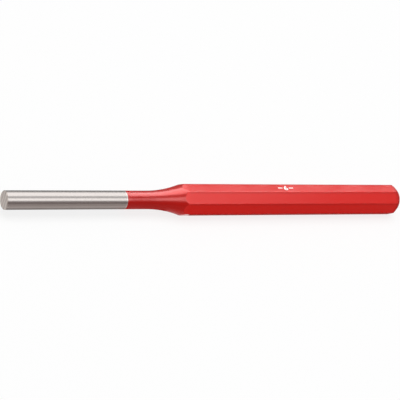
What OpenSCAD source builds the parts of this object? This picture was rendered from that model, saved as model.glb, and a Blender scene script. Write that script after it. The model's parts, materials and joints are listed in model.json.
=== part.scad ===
/* [Overall] */
// Length from the tip face to the struck end, over the lacquer
punch_length = 150; // [120:1:220]

/* [Pin] */
// Diameter of the parallel pin, which is the size the punch is known by
pin_diameter = 6; // [3:0.1:8]
// Length of the round part, from the tip face to the start of the shoulder
round_length = 49.8; // [30:0.1:70]
// Length of bright steel left without lacquer at the tip
bare_length = 41.7; // [20:0.1:48]
// Small edge break around the tip face
tip_break = 0.15; // [0:0.05:0.5]

/* [Shoulder] */
// Radius of the hollow curve that widens the neck into the shank
shoulder_radius = 37.5; // [15:0.5:60]

/* [Shank] */
// Width across the flats of the eight-sided shank, over the lacquer
across_flats = 10; // [9:0.1:14]
// Radius of the eight long edges, as the lacquer rounds them
edge_radius = 0.5; // [0.2:0.1:1.5]

/* [Struck end] */
// Length along the axis of the turned bevel around the struck end
bevel_length = 1.4; // [0.5:0.1:4]
// Radius of the struck face inside the bevel
face_radius = 4.15; // [2:0.05:4.5]
// Height of the low crown on the struck face
crown_height = 0.2; // [0.1:0.05:1]

/* [Lacquer] */
// Thickness of the lacquer film
film = 0.1; // [0.05:0.01:0.3]

/* [Size number] */
// Distance from the tip face to the middle of the printed size number
mark_place = 102; // [75:1:140]
// Height of the digit
digit_height = 2.4; // [1.5:0.1:3]
// Width of the printed strokes
stroke = 0.42; // [0.2:0.02:0.5]
// Length of the dash on each side of the digit
dash_length = 1.7; // [0.5:0.1:5]
// Bare gap between the digit and each dash
dash_gap = 0.6; // [0.3:0.1:2]
// Thickness of the printed ink
ink = 0.05; // [0.03:0.01:0.1]

/* [Hidden] */
$fn = 96;
// steps in each drawn arc
shoulder_steps = 24;
crown_steps = 8;
edge_steps = 4;
// how far a cutting shape runs past what it cuts
overrun = 1;
sides = 8;
side_angle = 360 / sides;
pin_radius = pin_diameter / 2;
// radius of the turned blank, a little over the corners of the octagon
corner_radius = across_flats / 2 / cos(side_angle / 2);
blank_radius = corner_radius + film;
// the shoulder curve starts square to the axis at the neck and ends on the blank
shoulder_end_angle = acos(1 - (blank_radius - pin_radius) / shoulder_radius);

// Points of the shoulder curve, as [place along the axis, radius]
function shoulder_points() = [
    for (i = [0:shoulder_steps])
        let (angle = shoulder_end_angle * i / shoulder_steps)
            [round_length + shoulder_radius * sin(angle),
             pin_radius + shoulder_radius * (1 - cos(angle))]
];

// Points of the low crown, an elliptical rise from the bevel to the axis
function crown_points(top, radius) = [
    for (i = [0:crown_steps])
        let (angle = 90 * i / crown_steps)
            [top - crown_height * (1 - sin(angle)), radius * cos(angle)]
];

// Outline of the turned form from one end to the other, the radius less a skin
function turned_outline(start, skin) = concat(
    [[start, 0], [start, pin_radius - skin]],
    [for (p = shoulder_points()) [p[0], p[1] - skin]],
    [[punch_length - crown_height - bevel_length, blank_radius - skin]],
    crown_points(punch_length - skin, face_radius - skin)
);

// Turned solid about X from its outline of [place, radius] points
module turned(outline) {
    rotate([0, 90, 0])
        rotate_extrude()
            polygon([for (p = outline) [p[1], p[0]]]);
}

// Eight-sided bar along X with rounded edges, one flat facing up, less a skin
module octagon_bar(skin) {
    edge = edge_radius - skin;
    reach = (across_flats / 2 - edge_radius) / cos(side_angle / 2);
    rotate([0, 90, 0])
        translate([0, 0, -overrun])
            linear_extrude(punch_length + 2 * overrun)
                polygon([
                    for (k = [0:sides - 1], j = [0:edge_steps])
                        let (corner = side_angle * (k + 0.5),
                             turn = corner + side_angle * (j / edge_steps - 0.5))
                            [reach * cos(corner) + edge * cos(turn),
                             reach * sin(corner) + edge * sin(turn)]
                ]);
}

// The coated form from a place along the axis to the struck end, less a skin
module shank_form(start, skin) {
    intersection() {
        turned(turned_outline(start, skin));
        octagon_bar(skin);
    }
}

// Puts the part on its lowest flat, with the middle of its length over the origin
module at_rest() {
    translate([-punch_length / 2, 0, across_flats / 2])
        children();
}

// One-piece steel bar: bright pin, neck, shoulder, eight-sided shank, struck end
module punch_bar() {
    color("silver")
        at_rest() {
            turned([[0, 0], [0, pin_radius - tip_break], [tip_break, pin_radius],
                    [bare_length, pin_radius], [bare_length, 0]]);
            shank_form(bare_length, film);
        }
}

// Lacquer over everything behind the bright pin, closed over the struck end
module lacquer_coat() {
    color("firebrick")
        at_rest()
            difference() {
                shank_form(bare_length, 0);
                shank_form(bare_length - overrun, film);
            }
}

// A plain 6: a ring with a longer arc that rises from its left side
module digit_six() {
    bowl = digit_height * 0.3;
    sweep = digit_height - bowl;
    translate([0, bowl - digit_height / 2]) {
        difference() {
            circle(bowl);
            circle(bowl - stroke);
        }
        intersection() {
            translate([sweep - bowl, 0])
                difference() {
                    circle(sweep);
                    circle(sweep - stroke);
                }
            translate([-bowl, 0])
                square([bowl * 1.7, sweep]);
        }
    }
}

// Printed size number between two short dashes, on the upper flat of the shank
module size_mark() {
    digit_width = digit_height * 0.6;
    dash_start = digit_width / 2 + dash_gap;
    color("white")
        at_rest()
            translate([mark_place, 0, across_flats / 2])
                linear_extrude(ink) {
                    digit_six();
                    for (side = [0, 1])
                        mirror([side, 0])
                            translate([dash_start, -stroke / 2])
                                square([dash_length, stroke]);
                }
}

punch_bar();
lacquer_coat();
size_mark();
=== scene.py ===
import json
import math
import bpy
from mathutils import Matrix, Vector


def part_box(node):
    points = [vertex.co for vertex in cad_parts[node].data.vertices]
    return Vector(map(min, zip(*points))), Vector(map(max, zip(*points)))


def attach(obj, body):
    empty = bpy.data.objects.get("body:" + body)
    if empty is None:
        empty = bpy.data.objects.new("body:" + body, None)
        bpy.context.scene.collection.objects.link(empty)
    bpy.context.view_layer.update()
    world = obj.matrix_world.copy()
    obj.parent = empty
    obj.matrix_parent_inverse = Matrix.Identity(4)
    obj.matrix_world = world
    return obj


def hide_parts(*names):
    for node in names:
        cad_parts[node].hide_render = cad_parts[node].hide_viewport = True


print("loading the frame")
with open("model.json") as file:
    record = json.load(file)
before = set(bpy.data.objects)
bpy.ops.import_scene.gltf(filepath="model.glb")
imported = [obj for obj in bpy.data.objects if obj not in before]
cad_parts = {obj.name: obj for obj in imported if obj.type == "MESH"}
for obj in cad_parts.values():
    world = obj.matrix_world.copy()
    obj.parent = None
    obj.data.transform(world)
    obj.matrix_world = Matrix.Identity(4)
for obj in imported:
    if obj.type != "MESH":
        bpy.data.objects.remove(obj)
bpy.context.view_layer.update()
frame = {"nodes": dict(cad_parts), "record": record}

mm = 0.001
barLow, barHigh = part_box("punch_bar")
coatLow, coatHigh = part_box("lacquer_coat")
pinMount = next(m for m in frame["record"]["mounts"] if m["name"] == "pin")

tipX = barLow.x                          # tip face
endX = coatHigh.x                        # struck end
paintX = coatLow.x                       # where the lacquer starts
axisZ = (coatLow.z + coatHigh.z) / 2     # height of the axis over the floor
acrossFlats = coatHigh.z - coatLow.z
film = endX - barHigh.x                  # lacquer over the steel
pinRadius = pinMount["dims"]["r_mm"] * mm
neckX = pinMount["pos_m"][0] + pinMount["dims"]["length_mm"] * mm / 2   # end of the parallel part
sides = 8
sideAngle = 2 * math.pi / sides
quarterTurn = math.pi / 2


# Camera, as the photograph was taken

cameraSetup = {
    "place": (-267.756 * mm, -349.149 * mm, 277.289 * mm),
    "turnDegrees": (56.1614, -18.2358, -25.1308),
    "lens": 140.47,
    "sensor": 36.0,
    "clipStart": 10 * mm,
}


def placeCamera(setup):
    turn = [math.radians(angle) for angle in setup["turnDegrees"]]
    bpy.ops.object.camera_add(location=setup["place"], rotation=turn)
    camera = bpy.context.object
    camera.data.lens = setup["lens"]
    camera.data.sensor_width = setup["sensor"]
    camera.data.clip_start = setup["clipStart"]
    bpy.context.scene.camera = camera


# Helpers for modelling

def startFresh():
    if bpy.context.object and bpy.context.object.mode != "OBJECT":
        bpy.ops.object.mode_set(mode="OBJECT")
    bpy.ops.object.select_all(action="DESELECT")


def takeUp(piece):
    startFresh()
    piece.select_set(True)
    bpy.context.view_layer.objects.active = piece


def openForEdit(piece):
    takeUp(piece)
    bpy.ops.object.mode_set(mode="EDIT")
    bpy.ops.mesh.select_mode(type="VERT")
    bpy.ops.mesh.select_all(action="DESELECT")


def applyModifier(piece, modifier):
    startFresh()
    bpy.context.view_layer.objects.active = piece
    bpy.ops.object.modifier_apply(modifier=modifier.name)


def settle(piece):
    takeUp(piece)
    bpy.ops.object.transform_apply(location=True, rotation=True, scale=True)


def smoothOver(piece, degrees):
    takeUp(piece)
    bpy.ops.object.shade_smooth_by_angle(angle=math.radians(degrees))


def steps(start, end, count):
    return [start + (end - start) * i / count for i in range(count + 1)]


# Turning: a ring drawn out along the axis, one outline point after another

def turnOnLathe(name, outline, columns):
    startFresh()
    place, radius = outline[0]
    bpy.ops.mesh.primitive_circle_add(vertices=columns, radius=radius, fill_type="NOTHING",
                                      location=(place, 0, axisZ), rotation=(0, quarterTurn, 0))
    piece = bpy.context.object
    piece.name = name
    piece.data.name = name
    settle(piece)
    openForEdit(piece)
    bpy.ops.mesh.select_all(action="SELECT")
    for nextPlace, nextRadius in outline[1:]:
        bpy.ops.mesh.extrude_edges_move(TRANSFORM_OT_translate={"value": (nextPlace - place, 0, 0)})
        share = nextRadius / radius
        bpy.ops.transform.resize(value=(1, share, share), center_override=(nextPlace, 0, axisZ))
        place, radius = nextPlace, nextRadius
    bpy.ops.mesh.merge(type="CENTER")    # the last ring closes to a point
    bpy.ops.object.mode_set(mode="OBJECT")
    return piece


def closeRing(piece, place, radius):
    openForEdit(piece)
    bpy.ops.object.mode_set(mode="OBJECT")
    middle = Vector((place, 0, axisZ))
    for vertex in piece.data.vertices:
        vertex.select = (vertex.co - middle).length < radius
    bpy.ops.object.mode_set(mode="EDIT")
    bpy.ops.mesh.merge(type="CENTER")
    bpy.ops.object.mode_set(mode="OBJECT")


def faceOutward(piece):
    openForEdit(piece)
    bpy.ops.mesh.select_all(action="SELECT")
    bpy.ops.mesh.normals_make_consistent(inside=False)
    bpy.ops.object.mode_set(mode="OBJECT")


# Grinding: what stands past an octagonal gauge is drawn in to it

grinding = {
    "edgeRadius": 0.3 * mm,        # over the lacquer, on the long edges
    "edgeSteps": 12,
    "edgeShare": 0.9,              # edges of the gauge over this share of a side's angle are rounded
    "overrun": 20 * mm,            # gauge past both ends
    "softFactor": 0.5,
    "softPasses": 2,               # how far a flat's end is rounded over
}


def octagonGauge(skin):
    flat = acrossFlats / 2 - skin
    edgeRadius = grinding["edgeRadius"] - skin
    bpy.ops.mesh.primitive_cylinder_add(vertices=sides, radius=flat / math.cos(sideAngle / 2),
                                        depth=endX - tipX + 2 * grinding["overrun"],
                                        rotation=(0, quarterTurn, 0))
    gauge = bpy.context.object
    settle(gauge)
    gauge.rotation_euler.x = sideAngle / 2
    gauge.location = ((tipX + endX) / 2, 0, axisZ)
    settle(gauge)
    rounding = gauge.modifiers.new("rounding", "BEVEL")
    rounding.width = edgeRadius * math.tan(sideAngle / 2)
    rounding.segments = grinding["edgeSteps"]
    rounding.limit_method = "ANGLE"
    rounding.angle_limit = sideAngle * grinding["edgeShare"]
    applyModifier(gauge, rounding)
    return gauge


def grindFlats(piece, skin, softFrom):
    gauge = octagonGauge(skin)
    wheel = piece.modifiers.new("wheel", "SHRINKWRAP")
    wheel.target = gauge
    wheel.wrap_method = "NEAREST_SURFACEPOINT"
    wheel.wrap_mode = "INSIDE"
    applyModifier(piece, wheel)
    bpy.data.objects.remove(gauge)
    edges = piece.vertex_groups.new(name="softEdges")
    soft = [v.index for v in piece.data.vertices
            if any(start < v.co.x < end for start, end in softFrom)]
    edges.add(soft, 1.0, "REPLACE")
    rounding = piece.modifiers.new("softening", "SMOOTH")
    rounding.vertex_group = edges.name
    rounding.factor = grinding["softFactor"]
    rounding.iterations = grinding["softPasses"]
    applyModifier(piece, rounding)
    piece.vertex_groups.clear()


# Shoulder, shank and struck end, which the bar and its lacquer share

shank = {
    "shoulderRadius": 37.5 * mm,   # hollow curve from the neck into the shank
    "blankOver": 0.1 * mm,         # turned blank, past the corners of the flats
    "bevelLength": 1.82 * mm,
    "faceRadius": 4.0 * mm,
    "crownHeight": 0.08 * mm,
    "crownShares": (0.97, 0.9, 0.75, 0.5, 0.25, 0.02),   # rings of the struck face, of its radius
    "coarseStep": 0.6 * mm,        # rings along the shoulder
    "fineStep": 0.08 * mm,         # rings where the flats run out
    "fineBefore": 4,               # such rings ahead of where the flats start
    "bevelStep": 0.035 * mm,       # rings along the bevel
}


def blankRadius():
    return acrossFlats / 2 / math.cos(sideAngle / 2) + shank["blankOver"]


def shoulderReach(radius):
    drop = shank["shoulderRadius"] - (radius - pinRadius)
    return math.sqrt(shank["shoulderRadius"] ** 2 - drop ** 2)


def shoulderRadiusAt(place):
    run = place - neckX
    return pinRadius + shank["shoulderRadius"] - math.sqrt(shank["shoulderRadius"] ** 2 - run ** 2)


def aheadOfFlats(rings):
    return neckX + shoulderReach(acrossFlats / 2) - rings * shank["fineStep"]


def shankOutline(skin):
    flatStart = aheadOfFlats(shank["fineBefore"])
    blankStart = neckX + shoulderReach(blankRadius())
    coarse = round((flatStart - neckX) / shank["coarseStep"])
    fine = round((blankStart - flatStart) / shank["fineStep"])
    places = steps(neckX, flatStart, coarse) + steps(flatStart, blankStart, fine)[1:]
    shoulder = [(x, shoulderRadiusAt(x) - skin) for x in places]

    faceX = endX - skin - shank["crownHeight"]
    bevelX = faceX - shank["bevelLength"]
    narrowing = shank["faceRadius"] - blankRadius()
    bevel = [(x, blankRadius() - skin + narrowing * (x - bevelX) / (faceX - bevelX))
             for x in steps(bevelX, faceX, round(shank["bevelLength"] / shank["bevelStep"]))]
    faceRadius = bevel[-1][1]
    crown = [(endX - skin - shank["crownHeight"] * share ** 2, faceRadius * share)
             for share in shank["crownShares"]]
    return shoulder + bevel + crown


def softPlaces():                  # each bound lies between two rings, and the rings past it stay
    flatStart = aheadOfFlats(shank["fineBefore"] - 1 / 2)
    blankStart = neckX + shoulderReach(blankRadius()) - shank["fineStep"] / 2
    bevelStart = endX - shank["crownHeight"] - shank["bevelLength"] + shank["bevelStep"] / 2
    return [(flatStart, blankStart), (bevelStart, endX - shank["crownHeight"] / 2)]


# The steel bar

bar = {
    "columns": 192,
    "tipChamfer": 0.25 * mm,
    "faceShares": (0.02, 0.5, 0.97, 1),      # rings of the tip face, of its radius
    "chamferShares": (0.15, 0.85, 1),        # rings along the chamfer, of its length
    "pinStartShare": 1.15,         # first ring of the pin, in chamfers from the tip
    "pinSteps": 12,
    "gap": 0.02 * mm,              # the steel lies the film's thickness and this under the surface
    "smoothDegrees": 35,
}


def makeBar():
    chamfer = bar["tipChamfer"]
    faceRadius = pinRadius - chamfer
    face = [(tipX, faceRadius * share) for share in bar["faceShares"]]
    slope = [(tipX + chamfer * share, faceRadius + chamfer * share) for share in bar["chamferShares"]]
    pinStart = tipX + chamfer * bar["pinStartShare"]
    pin = [(x, pinRadius) for x in steps(pinStart, paintX, bar["pinSteps"])]
    skin = film + bar["gap"]
    neck = [(paintX, pinRadius - skin)]
    outline = face + slope + pin + neck + shankOutline(skin)
    piece = turnOnLathe("bar", outline, bar["columns"])
    closeRing(piece, tipX, face[1][1] / 2)
    faceOutward(piece)
    grindFlats(piece, skin, softPlaces())
    return piece


# The lacquer

lacquer = {
    "columns": 320,
    "wall": 0.09 * mm,             # a little under the film's thickness, clear of the steel
    "lip": 0.06 * mm,              # rounded edge where the lacquer stops
    "lipShare": 0.3,               # its middle ring, from the corner
    "neckSteps": 6,
    "smoothDegrees": 50,
}


def makeLacquer():
    lip = lacquer["lip"]
    inset = lip * lacquer["lipShare"]
    start = [(paintX, pinRadius - lip), (paintX + inset, pinRadius - inset), (paintX + lip, pinRadius)]
    neck = [(x, pinRadius) for x in steps(paintX + lip, neckX, lacquer["neckSteps"])[1:-1]]
    piece = turnOnLathe("lacquer", start + neck + shankOutline(0.0), lacquer["columns"])
    faceOutward(piece)
    grindFlats(piece, 0.0, softPlaces())
    wall = piece.modifiers.new("wall", "SOLIDIFY")
    wall.thickness = lacquer["wall"]
    wall.offset = -1
    applyModifier(piece, wall)
    return piece


# Materials

noiseSpan = (0.3, 0.7)                   # the part of a pattern that is spread over two values


def newMaterial(name):
    material = bpy.data.materials.new(name)
    material.use_nodes = True
    nodes = material.node_tree.nodes
    return material, nodes, material.node_tree.links, nodes["Principled BSDF"]


def addNode(nodes, kind, **settings):
    node = nodes.new(kind)
    for key, value in settings.items():
        setattr(node, key, value)
    return node


def setSockets(node, **values):
    for name, value in values.items():
        node.inputs[name].default_value = value


def objectPlace(nodes, links):
    where = addNode(nodes, "ShaderNodeTexCoord")
    apart = addNode(nodes, "ShaderNodeSeparateXYZ")
    links.new(where.outputs["Object"], apart.inputs["Vector"])
    return apart.outputs["X"], apart.outputs["Y"], apart.outputs["Z"]


def objectNoise(nodes, links, scale, detail, stretch=(1, 1, 1)):
    where = addNode(nodes, "ShaderNodeTexCoord")
    mapping = addNode(nodes, "ShaderNodeMapping", vector_type="POINT")
    mapping.inputs["Scale"].default_value = stretch
    noise = addNode(nodes, "ShaderNodeTexNoise")
    setSockets(noise, Scale=scale, Detail=detail)
    links.new(where.outputs["Object"], mapping.inputs["Vector"])
    links.new(mapping.outputs["Vector"], noise.inputs["Vector"])
    return noise.outputs["Fac"]


def blend(nodes, links, kind, share, first, second):
    mix = addNode(nodes, "ShaderNodeMix", data_type=kind)
    firstSocket = {"FLOAT": 2, "RGBA": 6}[kind]
    for socket, value in ((0, share), (firstSocket, first), (firstSocket + 1, second)):
        if isinstance(value, bpy.types.NodeSocket):
            links.new(value, mix.inputs[socket])
        else:
            mix.inputs[socket].default_value = value
    return mix.outputs[{"FLOAT": 0, "RGBA": 2}[kind]]


def calculate(nodes, links, operation, *values):
    node = addNode(nodes, "ShaderNodeMath", operation=operation)
    for socket, value in zip(node.inputs, values):
        if isinstance(value, bpy.types.NodeSocket):
            links.new(value, socket)
        else:
            socket.default_value = value
    return node.outputs["Value"]


def multiply(nodes, links, first, second):
    return calculate(nodes, links, "MULTIPLY", first, second)


def ramp(nodes, links, source, start, end, low, high):
    node = addNode(nodes, "ShaderNodeMapRange")
    for socket, value in (("From Min", start), ("From Max", end), ("To Min", low), ("To Max", high)):
        node.inputs[socket].default_value = value
    links.new(source, node.inputs["Value"])
    return node.outputs["Result"]


def spread(nodes, links, source, low, high):
    return ramp(nodes, links, source, *noiseSpan, low, high)


def bump(nodes, links, source, strength, distance):
    node = addNode(nodes, "ShaderNodeBump")
    setSockets(node, Strength=strength, Distance=distance)
    links.new(source, node.inputs["Height"])
    return node.outputs["Normal"]


redLacquer = {
    "colour": (0.68, 0.006, 0.002, 1),
    "deeper": (0.65, 0.005, 0.001, 1),
    "cloudPerMetre": 120,
    "cloudDetail": 2,
    "neckShade": 0.65,             # painted shade: turned places darker than the ground flats, darkest at the neck
    "shoulderShade": 0.77,
    "shankFrom": 1 * mm,           # past the shoulder, where the turned finish and its painted shade start to give way
    "shankTo": 2 * mm,             # and where they have
    "edgeShade": 0.76,             # painted shade on what isn't flat: long edges, bevel and struck face
    "edgeDepth": 0.016 * mm,       # under the height of the flats, fully edge
    "flatDepth": 0.002 * mm,       # the same, fully flat
    "edgeRoughness": 0.58,
    "edgeSpecular": 0.09,
    "besideEdgeShade": 0.88,            # painted shade on a narrow strip of each flat along its long edges
    "stripDegrees": 3.2,
    "edgeLineShade": 0.87,                # painted shade: a darker line beside one edge of each flat
    "edgeLineShadeDegrees": (0, 2.5, 5.5, 9),       # from that edge: the line's rise, then its fall
    "endShade": 0.78,              # painted shade, reached where the bevel starts and kept over the struck end
    "endWidth": 0.6 * mm,
    "metallic": 0.022,
    "roughnessLow": 0.16,
    "roughnessHigh": 0.22,
    "specular": 0.16,
    "turnedRoughness": 0.27,       # neck and shoulder
    "turnedSpecular": 0.175,
    "peelPerMetre": 900,
    "peelDetail": 1,
    "peelStrength": 0.5,
    "peelDepth": 0.0006 * mm,
}


# painted shade for the lacquer's colour, with masks for its edges and its shank
def shadeOffFlats(nodes, links):
    along, across, height = objectPlace(nodes, links)
    halfSide = sideAngle / 2
    up = calculate(nodes, links, "SUBTRACT", height, axisZ)
    angle = calculate(nodes, links, "ARCTAN2", up, across)
    offMiddle = calculate(nodes, links, "PINGPONG", angle, halfSide)     # turn from the nearest flat's middle
    squares = calculate(nodes, links, "ADD", multiply(nodes, links, up, up),
                        multiply(nodes, links, across, across))
    fromAxis = calculate(nodes, links, "SQRT", squares)
    reach = multiply(nodes, links, fromAxis, calculate(nodes, links, "COSINE", offMiddle))

    half = acrossFlats / 2
    shoulderEnd = neckX + shoulderReach(half)
    bevelStart = endX - shank["crownHeight"] - shank["bevelLength"]
    offFlat = ramp(nodes, links, reach, half - redLacquer["edgeDepth"], half - redLacquer["flatDepth"], 1, 0)
    onShank = ramp(nodes, links, along, shoulderEnd + redLacquer["shankFrom"],
                   shoulderEnd + redLacquer["shankTo"], 0, 1)
    # painted shade on the turned neck and shoulder, darkest at the neck
    turned = ramp(nodes, links, along, neckX, shoulderEnd, redLacquer["neckShade"],
                  redLacquer["shoulderShade"])
    # off the flats: the turned places' painted shade before the shank, the edges' painted shade on it
    off = blend(nodes, links, "FLOAT", onShank, turned, redLacquer["edgeShade"])

    # painted shade along the long edges of the flats
    stripStart = halfSide - math.radians(redLacquer["stripDegrees"])
    strip = multiply(nodes, links, ramp(nodes, links, offMiddle, stripStart, halfSide, 0, 1), onShank)
    on = blend(nodes, links, "FLOAT", strip, 1, redLacquer["besideEdgeShade"])
    # painted shade: a darker line beside one long edge of each flat
    wrapped = calculate(nodes, links, "WRAP", angle, halfSide, -halfSide)
    fromEdge = calculate(nodes, links, "ADD", wrapped, halfSide)
    riseStart, riseEnd, fallStart, fallEnd = [math.radians(turn) for turn in redLacquer["edgeLineShadeDegrees"]]
    rise = ramp(nodes, links, fromEdge, riseStart, riseEnd, 0, 1)
    fall = ramp(nodes, links, fromEdge, fallStart, fallEnd, 1, 0)
    edgeLineShadeMask = multiply(nodes, links, multiply(nodes, links, rise, fall), onShank)
    line = blend(nodes, links, "FLOAT", edgeLineShadeMask, 1, redLacquer["edgeLineShade"])

    shade = blend(nodes, links, "FLOAT", offFlat, multiply(nodes, links, on, line), off)
    # painted shade towards the struck end
    endStart = bevelStart - redLacquer["endWidth"]
    end = ramp(nodes, links, along, endStart, bevelStart, 1, redLacquer["endShade"])
    onEdge = multiply(nodes, links, offFlat, onShank)
    return multiply(nodes, links, shade, end), onEdge, onShank


def lacquerMaterial():
    material, nodes, links, surface = newMaterial("redLacquer")
    cloud = objectNoise(nodes, links, redLacquer["cloudPerMetre"], redLacquer["cloudDetail"])
    peel = objectNoise(nodes, links, redLacquer["peelPerMetre"], redLacquer["peelDetail"])
    shade, onEdge, onShank = shadeOffFlats(nodes, links)
    whole = blend(nodes, links, "RGBA", cloud, redLacquer["colour"], redLacquer["deeper"])
    # the lacquer's colour times the painted shade
    shaded = addNode(nodes, "ShaderNodeVectorMath", operation="SCALE")
    links.new(whole, shaded.inputs[0])
    links.new(shade, shaded.inputs["Scale"])
    links.new(shaded.outputs["Vector"], surface.inputs["Base Color"])
    surface.inputs["Metallic"].default_value = redLacquer["metallic"]
    ground = spread(nodes, links, cloud, redLacquer["roughnessLow"], redLacquer["roughnessHigh"])
    gloss = blend(nodes, links, "FLOAT", onShank, redLacquer["turnedRoughness"], ground)
    roughness = blend(nodes, links, "FLOAT", onEdge, gloss, redLacquer["edgeRoughness"])
    links.new(roughness, surface.inputs["Roughness"])
    sheen = blend(nodes, links, "FLOAT", onShank, redLacquer["turnedSpecular"], redLacquer["specular"])
    specular = blend(nodes, links, "FLOAT", onEdge, sheen, redLacquer["edgeSpecular"])
    links.new(specular, surface.inputs["Specular IOR Level"])
    peeled = bump(nodes, links, peel, redLacquer["peelStrength"], redLacquer["peelDepth"])
    links.new(peeled, surface.inputs["Normal"])
    return material


brightSteel = {
    "colour": (0.378, 0.351, 0.337, 1),
    "paler": (0.403, 0.374, 0.360, 1),
    "patchesPerMetre": 150,
    "patchDetail": 2,
    "paintEdge": (0.56, 0.54, 0.53, 1),      # paler ring beside the lacquer
    "paintEdgeWidth": 0.5 * mm,
    "metallic": 1.0,
    "roughnessLow": 0.20,
    "roughnessHigh": 0.26,
    "linesPerMetre": 9000,
    "breaksPerMetre": 120,         # how often a line changes on its way round
    "lineDetail": 3,
    "lineStrength": 0.4,
    "lineDepth": 0.0001 * mm,
}


def steelMaterial():
    material, nodes, links, surface = newMaterial("brightSteel")
    stretch = (brightSteel["linesPerMetre"], brightSteel["breaksPerMetre"], brightSteel["breaksPerMetre"])
    lines = objectNoise(nodes, links, 1, brightSteel["lineDetail"], stretch)
    patches = objectNoise(nodes, links, brightSteel["patchesPerMetre"], brightSteel["patchDetail"])
    along, across, height = objectPlace(nodes, links)
    whole = blend(nodes, links, "RGBA", patches, brightSteel["colour"], brightSteel["paler"])
    nearPaint = ramp(nodes, links, along, paintX - brightSteel["paintEdgeWidth"], paintX, 0, 1)
    edged = blend(nodes, links, "RGBA", nearPaint, whole, brightSteel["paintEdge"])
    links.new(edged, surface.inputs["Base Color"])
    surface.inputs["Metallic"].default_value = brightSteel["metallic"]
    roughness = spread(nodes, links, lines, brightSteel["roughnessLow"], brightSteel["roughnessHigh"])
    links.new(roughness, surface.inputs["Roughness"])
    lined = bump(nodes, links, lines, brightSteel["lineStrength"], brightSteel["lineDepth"])
    links.new(lined, surface.inputs["Normal"])
    return material


turnedFace = {
    "colour": (0.37, 0.325, 0.30, 1),
    "paler": (0.55, 0.49, 0.45, 1),
    "metallic": 0.8,
    "roughnessLow": 0.40,
    "roughnessHigh": 0.50,
    "streakScale": 230,            # the wave node's own scale
    "streakDistortion": 3,
    "streakDetail": 3,
    "streakStrength": 0.4,
    "streakDepth": 0.004 * mm,
}


def faceMaterial():
    material, nodes, links, surface = newMaterial("turnedFace")
    where = addNode(nodes, "ShaderNodeTexCoord")
    mapping = addNode(nodes, "ShaderNodeMapping", vector_type="POINT")
    mapping.inputs["Location"].default_value = (0, 0, -axisZ)
    wave = addNode(nodes, "ShaderNodeTexWave", wave_type="BANDS", bands_direction="Y")
    setSockets(wave, Scale=turnedFace["streakScale"], Distortion=turnedFace["streakDistortion"],
               Detail=turnedFace["streakDetail"])
    links.new(where.outputs["Object"], mapping.inputs["Vector"])
    links.new(mapping.outputs["Vector"], wave.inputs["Vector"])
    streaks = wave.outputs["Fac"]
    colour = blend(nodes, links, "RGBA", streaks, turnedFace["colour"], turnedFace["paler"])
    links.new(colour, surface.inputs["Base Color"])
    surface.inputs["Metallic"].default_value = turnedFace["metallic"]
    roughness = spread(nodes, links, streaks, turnedFace["roughnessLow"], turnedFace["roughnessHigh"])
    links.new(roughness, surface.inputs["Roughness"])
    streaked = bump(nodes, links, streaks, turnedFace["streakStrength"], turnedFace["streakDepth"])
    links.new(streaked, surface.inputs["Normal"])
    return material


whiteInk = {
    "colour": (0.86, 0.83, 0.81, 1),
    "thin": (0.80, 0.74, 0.72, 1),
    "roughness": 0.45,
    "grainPerMetre": 4000,
    "grainDetail": 2,
    "grainStrength": 0.3,
    "grainDepth": 0.004 * mm,
}


def inkMaterial():
    material, nodes, links, surface = newMaterial("whiteInk")
    grain = objectNoise(nodes, links, whiteInk["grainPerMetre"], whiteInk["grainDetail"])
    colour = blend(nodes, links, "RGBA", grain, whiteInk["colour"], whiteInk["thin"])
    links.new(colour, surface.inputs["Base Color"])
    surface.inputs["Roughness"].default_value = whiteInk["roughness"]
    grained = bump(nodes, links, grain, whiteInk["grainStrength"], whiteInk["grainDepth"])
    links.new(grained, surface.inputs["Normal"])
    return material


# Floor, world and lamps

studio = {
    "floorSize": 6.0,
    "floorDrop": 0.02 * mm,
    "floorColour": (0.93, 0.93, 0.93, 1),
    "floorWhite": 0.82,            # share of the floor that shows as white whatever its shade
    "floorGlow": 0.3,              # the same, for the light it gives back
    "worldColour": (1, 1, 1, 1),
    "worldLight": 0.46,
}

# softboxes: "room" lights everything, and the others only add gloss to what "on" names
lamps = {
    "room": {"middle": (0.1, 0.05, 1.15), "size": (1.4, 1.0), "light": 2.3, "on": "all"},
    "overSteel": {"middle": (-0.125, 0.403, 1.023), "size": (2.15, 1.085), "light": 1.25, "on": "steel"},
    "frontSteel": {"middle": (-0.235, -0.80, 0.77), "size": (1.93, 0.53), "light": 1.35, "on": "steel"},
    "overLacquer": {"middle": (0.30, 0.403, 1.023), "size": (1.3, 1.085), "light": 14.3, "on": "lacquer"},
    "frontLacquer": {"middle": (0.155, -0.80, 0.77), "size": (0.85, 0.53), "light": 10.6, "on": "lacquer"},
    "frontMiddle": {"middle": (0.69, -0.80, 0.77), "size": (0.22, 0.53), "light": 4.0, "on": "lacquer"},
    "frontEnd": {"middle": (0.975, -0.80, 0.77), "size": (0.35, 0.53), "light": 0.8, "on": "lacquer"},
}

greyShadeBoard = (0.6, 0.56, 0.55, 1)
darkShadeBoard = (0.12, 0.11, 0.11, 1)

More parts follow.
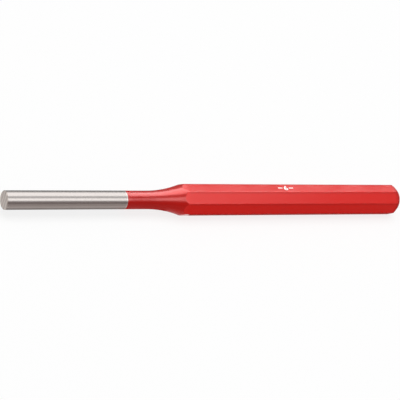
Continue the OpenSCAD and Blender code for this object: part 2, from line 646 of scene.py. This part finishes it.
# boards, seen only in what shines, are painted dark reflections; those lying on the floor round the punch are
# its shadow painted into reflections: ends along X, then the low and high edge as (Y, Z)
shadeCards = {
    "front": {"ends": (-0.3, 0.3), "low": (-0.027, 0), "high": (-0.060, 0.028),
              "colour": (0.36, 0.31, 0.30, 1)},
    "nearFloor": {"ends": (-0.3, 0.3), "low": (-0.0075, 0), "high": (-0.027, 0),
                  "colour": (0.60, 0.54, 0.52, 1)},
    "underPin": {"ends": (-0.0745, -0.026), "low": (0.006, 0), "high": (-0.0075, 0),
                 "colour": (0.86, 0.80, 0.78, 1)},
    "underNeck": {"ends": (-0.026, -0.017), "low": (0.006, 0), "high": (-0.0075, 0), "colour": greyShadeBoard},
    "underShank": {"ends": (-0.0085, 0.0755), "low": (0.006, 0), "high": (-0.0075, 0), "colour": greyShadeBoard},
    "pastEnd": {"ends": (0.0755, 0.3), "low": (0.0065, 0), "high": (-0.0075, 0), "colour": darkShadeBoard},
    "behind": {"ends": (-0.0745, 0.3), "low": (0.013, 0), "high": (0.0065, 0), "colour": darkShadeBoard},
    "farBehind": {"ends": (-0.084, 0.3), "low": (0.060, 0), "high": (0.013, 0), "colour": darkShadeBoard},
    "back": {"ends": (-1.5, 1.5), "low": (0.9, 0), "high": (0.9, 0.30), "colour": (0.15, 0.15, 0.15, 1)},
}


def cameraGlossyOrThrough(nodes, links):
    path = addNode(nodes, "ShaderNodeLightPath")
    seen = calculate(nodes, links, "MAXIMUM", path.outputs["Is Camera Ray"], path.outputs["Is Glossy Ray"])
    return calculate(nodes, links, "MAXIMUM", seen, path.outputs["Is Transmission Ray"])


def mixShaders(nodes, links, share, first, second, target):
    mix = addNode(nodes, "ShaderNodeMixShader")
    links.new(share, mix.inputs[0])
    links.new(first.outputs[0], mix.inputs[1])
    links.new(second.outputs[0], mix.inputs[2])
    links.new(mix.outputs[0], target)


def makeWorld():
    world = bpy.data.worlds.new("studioWorld")
    bpy.context.scene.world = world
    world.use_nodes = True
    nodes, links = world.node_tree.nodes, world.node_tree.links
    lit = nodes["Background"]
    setSockets(lit, Color=studio["worldColour"], Strength=studio["worldLight"])
    shown = addNode(nodes, "ShaderNodeBackground")
    setSockets(shown, Color=studio["worldColour"], Strength=1.0)
    mixShaders(nodes, links, cameraGlossyOrThrough(nodes, links), lit, shown,
               nodes["World Output"].inputs["Surface"])


def makeFloor():
    startFresh()
    bpy.ops.mesh.primitive_plane_add(size=studio["floorSize"], location=(0, 0, -studio["floorDrop"]))
    floor = bpy.context.object
    floor.name = "floor"
    material, nodes, links, surface = newMaterial("paleFloor")
    surface.inputs["Base Color"].default_value = studio["floorColour"]
    surface.inputs["Roughness"].default_value = 1.0
    surface.inputs["Specular IOR Level"].default_value = 0.0
    white = addNode(nodes, "ShaderNodeEmission")
    white.inputs["Strength"].default_value = 1.0
    seen = cameraGlossyOrThrough(nodes, links)
    share = ramp(nodes, links, seen, 0, 1, studio["floorGlow"], studio["floorWhite"])
    mixShaders(nodes, links, share, surface, white, nodes["Material Output"].inputs["Surface"])
    floor.data.materials.append(material)


def makeSoftbox(name, setup, litPieces):
    middle = Vector(setup["middle"])
    bpy.ops.object.light_add(type="AREA", location=middle)
    lamp = bpy.context.object
    lamp.name = name + "Softbox"
    lamp.rotation_euler.x = math.atan2(-middle.y, middle.z)     # square to the punch, long side along it
    lamp.data.shape = "RECTANGLE"
    lamp.data.size, lamp.data.size_y = setup["size"]
    lamp.data.energy = setup["light"] * math.pi * setup["size"][0] * setup["size"][1]
    lamp.visible_camera = False
    if setup["on"] == "all":
        lamp.visible_glossy = False
        return
    lamp.visible_diffuse = False
    lit = bpy.data.collections.new(lamp.name + "Pieces")
    for piece in litPieces[setup["on"]]:
        lit.objects.link(piece)
    lamp.light_linking.receiver_collection = lit


# a board seen only in what shines, as a painted dark reflection
def makeCard(name, card):
    startFresh()
    left, right = card["ends"]
    lowY, lowZ = card["low"]
    highY, highZ = card["high"]
    middleZ = (lowZ + highZ) / 2 - studio["floorDrop"] / 2      # between the floor and what lies on it
    bpy.ops.mesh.primitive_plane_add(size=1, rotation=(math.atan2(highZ - lowZ, highY - lowY), 0, 0),
                                     location=((left + right) / 2, (lowY + highY) / 2, middleZ))
    board = bpy.context.object
    board.name = name + "Card"
    board.scale = (right - left, math.hypot(highY - lowY, highZ - lowZ), 1)
    material, nodes, links, surface = newMaterial(board.name)
    surface.inputs["Base Color"].default_value = card["colour"]
    surface.inputs["Roughness"].default_value = 1.0
    board.data.materials.append(material)
    board.visible_camera = False
    board.visible_diffuse = False
    board.visible_shadow = False


# Making the punch

print("placing the camera")
placeCamera(cameraSetup)

print("turning and grinding the bar")
steelBar = makeBar()
print("turning and grinding the lacquer's form")
coat = makeLacquer()

print("giving each piece its finish")
steelBar.data.materials.append(steelMaterial())
steelBar.data.materials.append(faceMaterial())
for polygon in steelBar.data.polygons:
    if polygon.center.x < tipX + bar["tipChamfer"]:
        polygon.material_index = 1
coat.data.materials.append(lacquerMaterial())
mark = frame["nodes"]["size_mark"]
mark.data.materials.clear()
mark.data.materials.append(inkMaterial())
smoothOver(steelBar, bar["smoothDegrees"])
smoothOver(coat, lacquer["smoothDegrees"])

print("setting the studio")
bpy.context.scene.view_settings.view_transform = "Standard"
makeWorld()
makeFloor()
for name, card in shadeCards.items():
    makeCard(name, card)
litPieces = {"steel": [steelBar], "lacquer": [coat, mark]}
for name, setup in lamps.items():
    makeSoftbox(name, setup, litPieces)

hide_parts("punch_bar")
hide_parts("lacquer_coat")
for piece in (steelBar, coat):
    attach(piece, "root")
